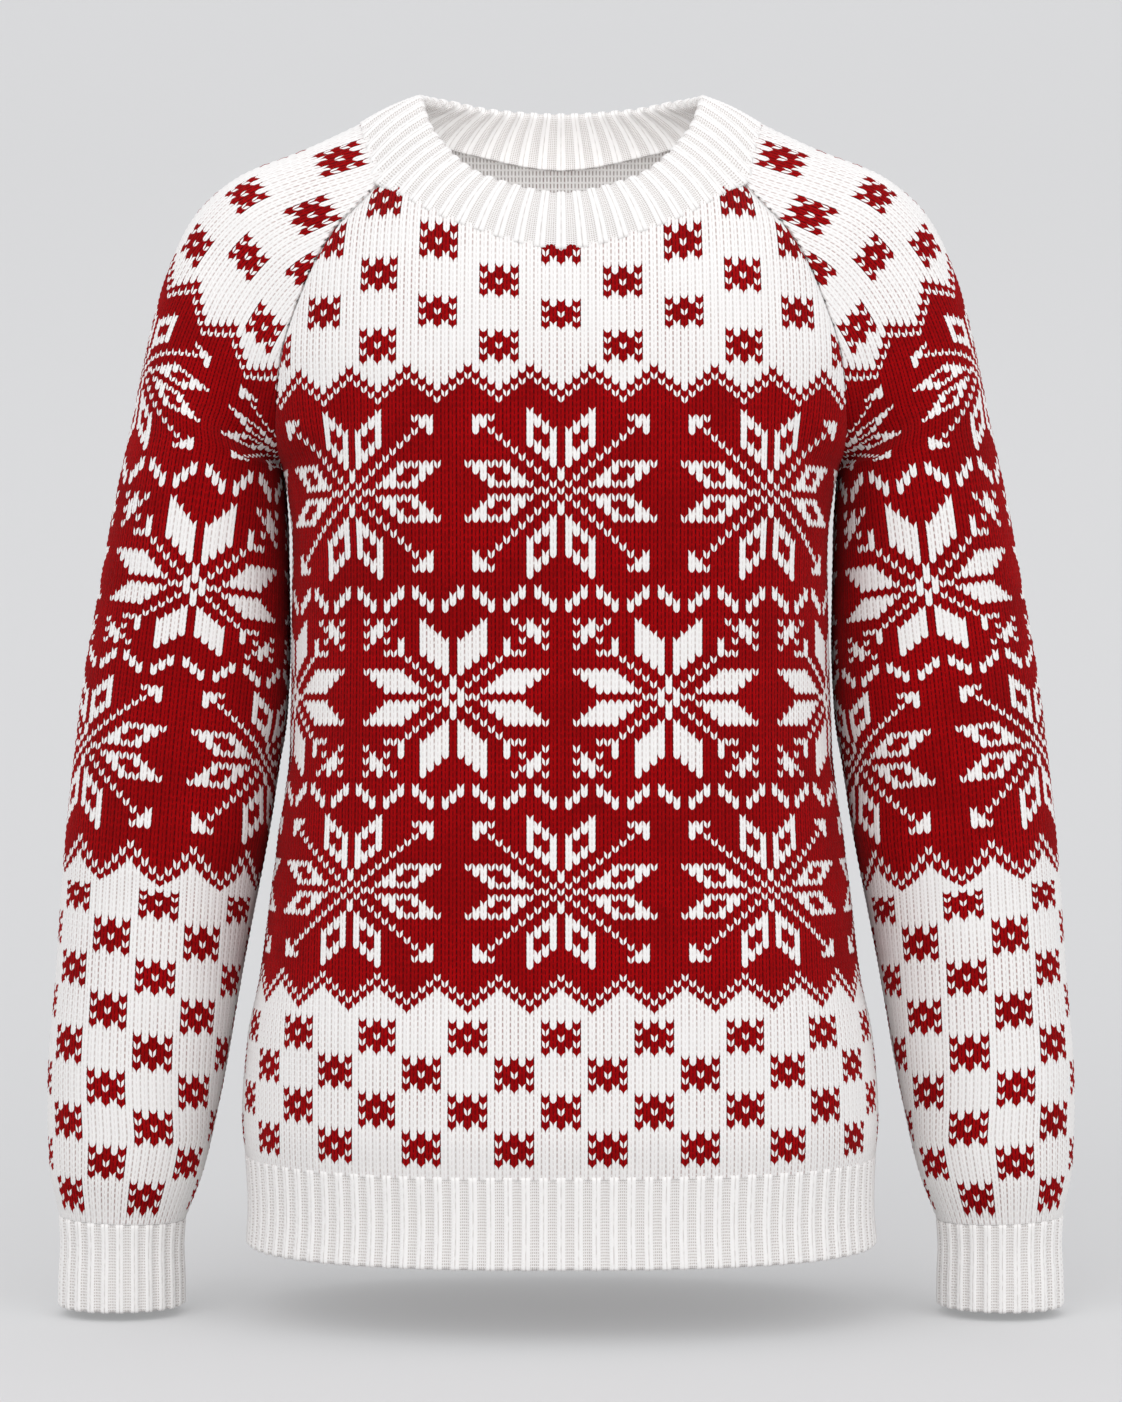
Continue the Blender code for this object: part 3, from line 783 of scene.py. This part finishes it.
def rib_cloth(name, section, pitches, length, relief, wall, closed, roll=0.0):
    """Ribbing that runs from a seam, round a free edge and back up inside. section(share, down) gives
    places and outward normals on the middle of the wall; share runs 0 to 1 along the seam."""
    cloth = Cloth(name, joined=True)
    marks = (np.arange(pitches)[:, None] + RIB_LINES[None, :]).ravel()
    marks = np.append(marks, marks[0] + pitches if closed else float(pitches))
    phase = marks % 1.0
    count = int(round(length / RIB_ROW))
    # Along the outside, round the lip, and back: distance down, and the turn of the lip.
    out_rows = np.arange(0, count + 1) / count
    lip = np.linspace(0, math.pi, LIP_STEPS + 1)[1:-1]
    down = np.concatenate((out_rows, np.ones(len(lip)), out_rows[::-1]))
    turn = np.concatenate((np.zeros(count + 1), lip, np.full(count + 1, math.pi)))
    steps = np.arange(len(down), dtype=float)
    raised = rib_profile(phase)
    knit_middle = np.isclose(phase, 0.0)
    purl_middle = np.isclose(phase, 0.5)
    share = marks[:, None] / pitches + 0 * down[None, :]
    if closed:
        share = share % 1.0

    def lay(share_at, down_at, turn_at, out_push):
        place, normal, way = section(share_at, down_at)
        offset = np.cos(turn_at)[..., None] * normal * (wall / 2 + out_push)[..., None]
        below = np.sin(turn_at)[..., None] * way * (wall / 2 + np.maximum(out_push, -0.4) * 0.6)[..., None]
        return place + offset + below

    slope = np.where(knit_middle, MIDDLE_DROP, 0.0)
    shifted = np.clip(down[None, :] + (slope / count)[:, None] * (np.cos(turn) > 0.9) * (down > 0.01)
                      * (down < 0.99), 0, 1)
    face_out = np.cos(turn)[None, :]
    wave = relief * raised[:, None] * np.where(face_out >= 0, 1.0, -INNER_RELIEF)
    rolled = roll * (face_out < -0.9) * np.exp(-((down / 0.07) ** 2))[None, :]
    purl = np.where(purl_middle, PURL_RISE, 0.0)[:, None]
    groove = np.where(knit_middle, -KNIT_GROOVE, 0.0)[:, None]
    places = lay(share, shifted, turn[None, :] + 0 * share, wave + purl + groove + rolled)
    middle_marks = (marks[:-1] + marks[1:]) / 2
    middle_share = middle_marks[:, None] / pitches + 0 * down[None, 1:]
    if closed:
        middle_share = middle_share % 1.0
    middle_raised = rib_profile(middle_marks % 1.0)
    middle_down = ((shifted[:-1, :-1] + shifted[1:, 1:] + shifted[1:, :-1] + shifted[:-1, 1:]) / 4)
    middle_turn = ((turn[:-1] + turn[1:]) / 2)[None, :] + 0 * middle_share
    outside = np.cos(middle_turn) >= 0
    middle_wave = relief * middle_raised[:, None] * np.where(outside, 1, -INNER_RELIEF)
    bump = np.where(middle_raised > 0, 0.30, -0.22)[:, None]
    bump = np.where(outside, bump, np.where(bump > 0, -0.1, 0.34))
    middle_rolled = (rolled[:, :-1] + rolled[:, 1:]) / 2
    tops = lay(middle_share, middle_down, middle_turn, middle_wave + bump + middle_rolled)
    rows = len(down)
    faces = lattice_faces(len(marks), rows, len(marks) * rows).reshape(-1, 3)
    counts = ((marks, steps), (middle_marks, (steps[:-1] + steps[1:]) / 2))
    grids = [np.stack(np.meshgrid(*count_of, indexing="ij"), -1) for count_of in counts]
    all_loops = stack(*grids)
    scale = np.array((marks[-1] - marks[0], steps[-1]))
    uvs = 0.01 + 0.98 * (all_loops - (marks[0], 0)) / scale
    every = stack(places, tops)
    cloth.add(every, all_loops, uvs, faces, 1, 0)
    # The edge under the seam, and the two ends of a rib that isn't a tube.
    along, across = np.arange(len(marks) - 1) * rows, np.arange(rows // 2)
    shut = [np.stack((along + rows, along, along + rows - 1, along + 2 * rows - 1), -1)]
    if not closed:
        for first, turned in ((0, False), ((len(marks) - 1) * rows, True)):
            end = np.stack((across, across + 1, rows - 2 - across, rows - 1 - across), -1) + first
            end = end[end[:, 1] < end[:, 2]]
            shut.append(end[:, ::-1] if turned else end)
    cloth.add(every, all_loops, uvs, np.concatenate(shut), 1, 0)
    return cloth


class Section:
    """Reads a grid of rows smoothly by share across and share down."""

    def __init__(self, rows, closed, outward):
        grid = np.array(rows)
        if closed:
            wide = np.concatenate((grid[:, -4:-1], grid, grid[:, 1:4]), axis=1)
            side = np.gradient(wide, axis=1)[:, 3:-3]
        else:
            side = np.gradient(grid, axis=1)
        way = unit(np.gradient(grid, axis=0))
        normal = unit(np.cross(way, side) * outward)
        way = way - normal * (way * normal).sum(-1, keepdims=True)
        self.normals = normal
        self.fields = [grid, normal, way]
        self.shape = grid.shape

    def __call__(self, share, down):
        i = np.clip(down * (self.shape[0] - 1), 0, self.shape[0] - 1)
        j = np.clip(share * (self.shape[1] - 1), 0, self.shape[1] - 1)
        i, j = np.broadcast_arrays(i, j)
        a0 = np.minimum(i.astype(int), self.shape[0] - 2)
        b0 = np.minimum(j.astype(int), self.shape[1] - 2)
        a, b = (i - a0)[..., None], (j - b0)[..., None]
        return [between(field, a0, b0, a, b) for field in self.fields]


def folded_section(rows, closed, outward, depth):
    """The section of these rows, pushed in by depth and moved with the cloth's folds, and its length."""
    normals = Section(rows, closed, outward).normals
    rows = rows + (fold_push(rows) + soft_waves(rows) - depth)[..., None] * normals
    return Section(rows, closed, outward), lengths_along(rows[0])[-1]


def smooth_rows(key_rows, keys, count):
    """Rows given at a few keys, read at count even keys by a smooth curve."""
    key_rows, keys = np.array(key_rows), np.array(keys, float)
    slopes = np.gradient(key_rows, keys, axis=0)
    out = []
    for key in np.linspace(keys[0], keys[-1], count):
        i = min(max(int(np.searchsorted(keys, key)) - 1, 0), len(keys) - 2)
        step = keys[i + 1] - keys[i]
        t = (key - keys[i]) / step
        out.append(curve(key_rows[i], key_rows[i + 1], slopes[i] * step, slopes[i + 1] * step, t))
    return np.array(out)


def hem_cloth(side):
    def row(height):
        right, _ = even(body_level(height, side, 500), 200)
        return np.concatenate(((right * MIRROR)[::-1], right[1:]))

    heights = np.linspace(HEM_TOP + 1.5, HEM_BOTTOM + 1.0, 24)
    rows = np.array([row(h) for h in heights])
    outward = 1 if side < 0 else -1
    section, length = folded_section(rows, False, outward, WALL / 2 + RIB_INSET)
    pitches = int(round(length / HEM_PITCH))
    cloth = rib_cloth("hem_rib_front_knit" if side < 0 else "hem_rib_back_knit", section, pitches,
                      abs(HEM_BOTTOM - HEM_TOP), 0.95, WALL - SLACK, closed=False)
    return cloth.turned(cloth.name) if side < 0 else cloth


def cuff_cloth():
    front, _ = even(half_sleeve_line(WRIST_ROW, -1, 400), 120)
    back, _ = even(half_sleeve_line(WRIST_ROW, 1, 400), 120)
    start = np.concatenate((back[::-1], front[1:]))
    middle = start.mean(axis=0)
    drops, swells = (0.0, 0.3, 0.7, 1.0), (1.0, 0.975, 1.0, 1.01)
    rows = []
    for drop, swell in zip(drops, swells):
        rows.append(middle + (start - middle) * (swell, swell, 1 - drop) - (0, 0, drop * CUFF_LENGTH))
    rows = smooth_rows(rows, drops, 24)
    section, length = folded_section(rows, True, -1, WALL / 2 + RIB_INSET)
    pitches = int(round(length / CUFF_PITCH))
    return rib_cloth("cuff_left_knit", section, pitches, CUFF_LENGTH, 0.9, WALL - SLACK, closed=True)


def seam_round_neck(count=720):
    """The seam under the neckband by angle: front panel, sleeve top, back panel and the other side."""
    angles = np.linspace(0, 180, count // 2 + 1)
    places = []
    top_back = half_sleeve_line(0, 1, 400)
    top_front = half_sleeve_line(0, -1, 400)
    over, _ = even(np.concatenate((top_front[::-1], top_back[1:])), 200)
    for angle in angles:
        if angle <= FRONT_RAGLAN_ANGLE or angle >= BACK_RAGLAN_ANGLE:
            side = -1 if angle <= FRONT_RAGLAN_ANGLE else 1
            x = NECK_HALF_WIDTH * math.sin(math.radians(angle))
            z = float(NECK.at(angle, "seam_height"))
            share = min(abs(x) / YOKES[side].at(z, "edge"), 1.0)
            places.append((x, side * yoke_depth(YOKES[side], z, share), z))
        else:
            share = (angle - FRONT_RAGLAN_ANGLE) / (BACK_RAGLAN_ANGLE - FRONT_RAGLAN_ANGLE)
            places.append(tuple(read_line(share, np.linspace(0, 1, len(over)), over)))
    right = np.array(places)
    left = (right * MIRROR)[::-1]
    ring = np.concatenate((right, left[1:]))
    ring_angles = np.concatenate((angles, 360 - angles[::-1][1:]))
    return ring, ring_angles


def rim_places(angles):
    signed = np.where(angles > 180, angles - 360, angles)
    turn = np.radians(signed)
    deep = np.where(np.abs(signed) < 90, RIM_FRONT, RIM_BACK)
    height = NECK.at(np.abs(signed), "rim_height")
    return np.stack((RIM_HALF_WIDTH * np.sin(turn), -deep * np.cos(turn), height), -1)


def neckband_cloth():
    ring, angles = seam_round_neck()
    # Smooth the corners that the pieces under the band meet at.
    for _ in range(8):
        inner = ring[:-1]
        inner = (np.roll(inner, 1, 0) + 2 * inner + np.roll(inner, -1, 0)) / 4
        ring = np.concatenate((inner, inner[:1]))
    rim = rim_places(angles)
    lean = rim - ring
    level = unit(ring * (1, 1, 0))
    out = unit(level - lean * ((level * lean).sum(1) / (lean * lean).sum(1))[:, None])
    ups, swells = (-0.09, 0.35, 0.7, 1), (-0.2, 1.6, 1.4, 0.0)
    key_rows = [ring + u * lean + s * out for u, s in zip(ups, swells)]
    # It reaches a little further down over the corner that a raglan seam ends in.
    from_corner = np.minimum(abs(angles - FRONT_RAGLAN_ANGLE), abs(360 - FRONT_RAGLAN_ANGLE - angles))
    cover = np.exp(-((from_corner / 7.0) ** 2))[:, None]
    key_rows[0] = key_rows[0] + cover * (0.9 * out - 0.13 * lean)
    rows = smooth_rows(key_rows, ups, 24)
    # Places at equal distances along the seam, so that the ribs are even there.
    lengths = lengths_along(rows[8])
    marks = np.linspace(0, lengths[-1], len(angles))
    rows = np.stack([read_line(marks, lengths, row) for row in rows])
    section, _ = folded_section(rows, True, -1, BAND_WALL / 2 + 0.1)
    pitches = int(round(lengths[-1] / BAND_PITCH))
    return rib_cloth("neckband_knit", section, pitches, BAND_ROWS * RIB_ROW, 0.95, BAND_WALL - 0.2,
                     closed=True, roll=1.6)


# ---- Materials ----


class Value:
    """A number in a material's nodes, so that formulas of them read as formulas."""

    def __init__(self, nodes, socket):
        self.nodes, self.socket = nodes, socket

    def __add__(self, other):
        return self.nodes.math("ADD", self, other)

    def __sub__(self, other):
        return self.nodes.math("SUBTRACT", self, other)

    def __rsub__(self, other):
        return self.nodes.math("SUBTRACT", other, self)

    def __mul__(self, other):
        return self.nodes.math("MULTIPLY", self, other)

    def __abs__(self):
        return self.nodes.math("ABSOLUTE", self)

    __radd__, __rmul__ = __add__, __mul__


def settle(shader, amounts):
    for name, amount in amounts.items():
        shader.inputs[name].default_value = amount


class Nodes:
    """Short calls for wiring a material's nodes."""

    def __init__(self, material):
        material.use_nodes = True
        self.tree = material.node_tree
        self.shader = self.tree.nodes["Principled BSDF"]

    def make(self, kind, **settings):
        node = self.tree.nodes.new("ShaderNode" + kind)
        for key, value in settings.items():
            setattr(node, key, value)
        return node

    def wire(self, value, socket):
        if isinstance(value, Value):
            self.tree.links.new(value.socket, socket)
        else:
            socket.default_value = value

    def math(self, operation, *values):
        node = self.make("Math", operation=operation)
        for value, socket in zip(values, node.inputs):
            self.wire(value, socket)
        return Value(self, node.outputs[0])

    def mix(self, factor, first, second):
        node = self.make("Mix", data_type="RGBA")
        for value, n in ((factor, 0), (first, 6), (second, 7)):
            self.wire(value, node.inputs[n])
        return Value(self, node.outputs[2])

    def ramp(self, value, low, high):
        node = self.make("MapRange", interpolation_type="SMOOTHSTEP")
        for given, n in ((value, 0), (low, 1), (high, 2)):
            self.wire(given, node.inputs[n])
        return Value(self, node.outputs[0])

    def attribute(self, name, output):
        return Value(self, self.make("Attribute", attribute_name=name).outputs[output])

    def noise(self, vector, scale, detail):
        node = self.make("TexNoise")
        for given, name in ((vector, "Vector"), (scale, "Scale"), (detail, "Detail")):
            self.wire(given, node.inputs[name])
        return Value(self, node.outputs["Fac"])


# Yarn colours: WHITE and RED are the yarns. The second white is painted shade. The darker red is both the
# red yarn's random darker tone and painted shade. The four colours after it are painted shade in gaps,
# hollows and grooves.
WHITE = (0.83, 0.815, 0.80, 1)
WHITE_PAINTED_SHADE = (0.70, 0.67, 0.65, 1)
RED = (0.33, 0.0008, 0.0022, 1)
RED_DARK_TONE_AND_PAINTED_SHADE = (0.14, 0.0003, 0.0008, 1)
PAINTED_SHADE_IN_WHITE_GAPS = (0.36, 0.20, 0.18, 1)
PAINTED_SHADE_IN_RED_GAPS = (0.045, 0.001, 0.003, 1)
PAINTED_SHADE_ON_RIB = (0.42, 0.36, 0.33, 1)
PAINTED_SHADE_ON_WRONG_SIDE = (0.36, 0.33, 0.31, 1)


YARN_FINISH = {
    "Roughness": 0.92,
    "Specular IOR Level": 0.06,
    "Sheen Weight": 0.02,
    "Sheen Roughness": 0.55,
}
RELIEF_DEPTH = 0.0006
TURN = 2 * math.pi


def finish_yarn(nodes, colour, height):
    nodes.wire(colour, nodes.shader.inputs["Base Color"])
    settle(nodes.shader, YARN_FINISH)
    bump = nodes.make("Bump")
    settle(bump, {"Strength": 0.55, "Distance": RELIEF_DEPTH})
    nodes.wire(height, bump.inputs["Height"])
    nodes.tree.links.new(bump.outputs[0], nodes.shader.inputs["Normal"])


def cell_shares(nodes, across):
    """The loop counts, and where a place is within its leg: 0 to 1 across and up."""
    split = nodes.make("SeparateXYZ")
    nodes.wire(nodes.attribute("loop", "Vector"), split.inputs[0])
    column, row, mixed = (Value(nodes, output) for output in split.outputs)
    return column, row, mixed, nodes.math("FRACT", column * across), nodes.math("FRACT", row + 0.5)


def fibre(nodes, x, y):
    """Fine yarn: plies that run slantwise along each leg, and loose fibres."""
    plies = nodes.math("SINE", 2 * TURN * (y + x))
    place = Value(nodes, nodes.make("NewGeometry").outputs["Position"])
    return 0.10 * plies + nodes.noise(place, 1900.0, 3.0), place


def knit_material(name, wrong_side=False):
    """Two-colour knitting. The yarn attribute picks the colour, and the loop one finds each stitch."""
    material = bpy.data.materials.new(name)
    nodes = Nodes(material)
    column, _, mixed, x, y = cell_shares(nodes, 2.0)
    height, place = fibre(nodes, x, y)
    # From a column's border, 0, to its middle, 0.5. A leg starts nearer the middle and slants outwards.
    inward = abs(nodes.math("FRACT", column) - 0.5)
    aside = abs(inward - (0.33 - 0.17 * y))
    painted_shade_off_leg = 1.0 - nodes.ramp(aside, 0.29, 0.10)
    # The gap between two columns is a short dash of painted shade in each row, and that down their middle a
    # shorter one.
    up = abs(y - 0.5)
    gap = nodes.ramp(inward, 0.13, 0.045) * nodes.ramp(up, 0.44, 0.22)
    middle = nodes.ramp(inward, 0.41, 0.47) * nodes.ramp(up, 0.34, 0.16)
    clouds = nodes.ramp(nodes.noise(place, 26.0, 2.0), 0.35, 0.7)
    # Painted shade: off its slanted leg, white and red yarn is painted darker.
    white = nodes.mix(0.55 * painted_shade_off_leg, WHITE, WHITE_PAINTED_SHADE)
    # Painted shade in the gaps of white yarn, its strength varied at random by the clouds.
    white_gap_shade = nodes.math("MAXIMUM", gap, 0.5 * middle)
    white = nodes.mix((0.30 + 0.5 * clouds) * white_gap_shade, white, PAINTED_SHADE_IN_WHITE_GAPS)
    red = nodes.mix(0.8 * painted_shade_off_leg, RED, RED_DARK_TONE_AND_PAINTED_SHADE)
    # Painted shade in the gaps of red yarn.
    red = nodes.mix(0.95 * nodes.math("MAXIMUM", gap, 0.85 * middle), red, PAINTED_SHADE_IN_RED_GAPS)
    # The red yarn's own tone, darker at random in fine mottles and broad clouds.
    red = nodes.mix(0.45 * nodes.ramp(nodes.noise(place, 420.0, 2.0), 0.4, 0.7), red, RED_DARK_TONE_AND_PAINTED_SHADE)
    red = nodes.mix(0.35 * clouds, red, RED_DARK_TONE_AND_PAINTED_SHADE)
    # Beside the other yarn a white leg is drawn narrower, and slants more.
    narrowing = mixed + 1.7 * nodes.math("MAXIMUM", 0.0, aside - 0.10)
    narrowing = narrowing * nodes.ramp(mixed, 0.05, 0.25)
    beside = nodes.attribute("yarn", "Fac") * nodes.ramp(narrowing, 0.90, 0.78)
    colour = nodes.mix(beside, red, white)
    if wrong_side:
        # On the wrong side, a dash of painted shade at the edge of each leg, also pressed in by the bump.
        dash = nodes.ramp(abs(x - 0.5), 0.22, 0.40) * nodes.ramp(up, 0.42, 0.25)
        colour = nodes.mix(0.7 * dash, colour, PAINTED_SHADE_ON_WRONG_SIDE)
        height = height - 2.0 * dash
    finish_yarn(nodes, colour, height)
    return material


def rib_material(name):
    """White ribbing: ribs of two cords each, and hollows between them, painted darker and with small dark
    dots of painted shade.
    """
    material = bpy.data.materials.new(name)
    nodes = Nodes(material)
    _, row, _, x, y = cell_shares(nodes, 1.0)
    height, place = fibre(nodes, x * 3.0, y)
    inward = abs(x - 0.5)
    hollow = nodes.ramp(inward, 0.28, 0.20)
    rising, falling = (nodes.math("SINE", TURN * (x * 4.5 + row * lean)) for lean in (1.0, -1.0))
    speck = hollow * nodes.ramp(rising * falling, 0.15, 0.6)
    broken = nodes.ramp(nodes.noise(place, 300.0, 1.0), 0.35, 0.6)
    parting = nodes.ramp(inward, 0.455, 0.495) * (0.35 + 0.65 * broken)
    # Painted shade: the hollows are painted darker, with dark specks in them, and a broken dark parting
    # runs down the middle of each rib.
    colour = nodes.mix(0.18 * hollow, WHITE, WHITE_PAINTED_SHADE)
    colour = nodes.mix(0.75 * speck, colour, PAINTED_SHADE_ON_RIB)
    colour = nodes.mix(0.45 * parting, colour, PAINTED_SHADE_ON_RIB)
    finish_yarn(nodes, colour, height - 1.6 * speck - 1.2 * parting)
    return material


# ---- The pieces ----

FRONT = Panel(panel_surface(-1), BODY_KNITTING, STITCH, neck_side=-1)
BACK = Panel(panel_surface(1), BODY_KNITTING, STITCH, neck_side=1)
ARM = Panel(sleeve_surface(), SLEEVE_KNITTING, SLEEVE_STITCH, gathered_from=GATHER_ROW)

MATERIALS = {
    "patterned_knit": [knit_material("two_colour_knit"), knit_material("knit_wrong_side", wrong_side=True)],
    "white_rib": [rib_material("white_ribbing")],
}
BODY_COLUMNS = (-58, 58)
LOWEST_ROW = -80  # of the front and back
front = knit_panel("front_knit", FRONT, BODY_COLUMNS, (LOWEST_ROW, 80), seed=3)
back = knit_panel("back_knit", BACK, BODY_COLUMNS, (LOWEST_ROW, 96), seed=4).turned("back_knit")
sleeve = knit_panel("sleeve_left_knit", ARM, (-50, 50), (-108, 84), seed=5, star_shift=7,
                    block_shift=8, lowest_block=-103).turned("sleeve_left_knit")
cuff = cuff_cloth()

PIECES = [
    # the cloth, the node it stands for, its slot
    (front, "front", "patterned_knit"),
    (back, "back", "patterned_knit"),
    (sleeve, "sleeve_left", "patterned_knit"),
    (sleeve.turned("sleeve_right_knit", MIRROR), "sleeve_right", "patterned_knit"),
    (neckband_cloth(), "neckband", "white_rib"),
    (hem_cloth(-1), "hem_rib_front", "white_rib"),
    (hem_cloth(1), "hem_rib_back", "white_rib"),
    (cuff, "cuff_left", "white_rib"),
    (cuff.turned("cuff_right_knit", MIRROR), "cuff_right", "white_rib"),
]
for cloth, node, slot_name in PIECES:
    item = cloth.build(MATERIALS[slot_name])
    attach(item, "root")
    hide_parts(node)

# ---- The stage ----

FLOOR_Z = -0.6535


def backdrop_paper():
    """Pale paper. A little light of its own keeps the shadow under the sweater as pale as in the photo."""
    paper = bpy.data.materials.new("backdrop_paper")
    settle(Nodes(paper).shader, {
        "Base Color": (0.38, 0.379, 0.38, 1),
        "Roughness": 0.9,
        "Emission Color": (0.98, 0.99, 1, 1),
        "Emission Strength": 0.265,
    })
    return paper


def backdrop():
    """A floor that curves up into a wall behind."""
    wall_y, radius, wide, tall = 1.6, 0.9, 6.0, 4.0
    line = [(-4.0, FLOOR_Z), (0.0, FLOOR_Z), (wall_y - radius, FLOOR_Z)]
    for n in range(1, 25):
        turn = math.radians(90 * n / 24)
        line.append((wall_y - radius + radius * math.sin(turn), FLOOR_Z + radius * (1 - math.cos(turn))))
    line.append((wall_y, tall))
    places = [(x, y, z) for y, z in line for x in (-wide, wide)]
    faces = [(2 * n, 2 * n + 1, 2 * n + 3, 2 * n + 2) for n in range(len(line) - 1)]
    mesh = bpy.data.meshes.new("backdrop")
    mesh.from_pydata(places, [], faces)
    mesh.shade_smooth()
    mesh.materials.append(backdrop_paper())
    item = put_in_scene("backdrop", mesh)


def softbox(name, place, aim, power, size):
    light = bpy.data.lights.new(name, "AREA")
    light.energy, light.size = power, size
    item = put_in_scene(name, light)
    item.location = place
    item.rotation_euler = (Vector(aim) - Vector(place)).to_track_quat("-Z", "Y").to_euler()


backdrop()
AIM = (0.0, 0.0, -0.3)
softbox("key", (-1.3, -2.2, 1.3), AIM, 26, 2.2)
softbox("fill", (1.9, -2.0, 0.6), AIM, 22, 2.4)
softbox("top", (0.0, -0.3, 2.4), AIM, 5, 3.0)
softbox("inside", (0.0, -0.035, -0.075), (0.0, 0.05, -0.05), 0.09, 0.1)

world = bpy.data.worlds.new("soft_room")
world.use_nodes = True
settle(world.node_tree.nodes["Background"], {"Color": (0.97, 0.975, 1.0, 1), "Strength": 1.02})
bpy.context.scene.world = world
bpy.context.scene.view_settings.view_transform = "Standard"

CAMERA_BACK = 1.87
FIELD_OF_VIEW = 23.71  # up and down, in degrees
camera = bpy.data.cameras.new("camera")
camera.sensor_fit = "VERTICAL"
camera.sensor_height = 24.0
camera.lens = 12.0 / math.tan(math.radians(FIELD_OF_VIEW / 2))
viewer = put_in_scene("camera", camera)
viewer.location = (0.0, -CAMERA_BACK, -0.314)
viewer.rotation_euler = (math.radians(90), 0, 0)
bpy.context.scene.camera = viewer
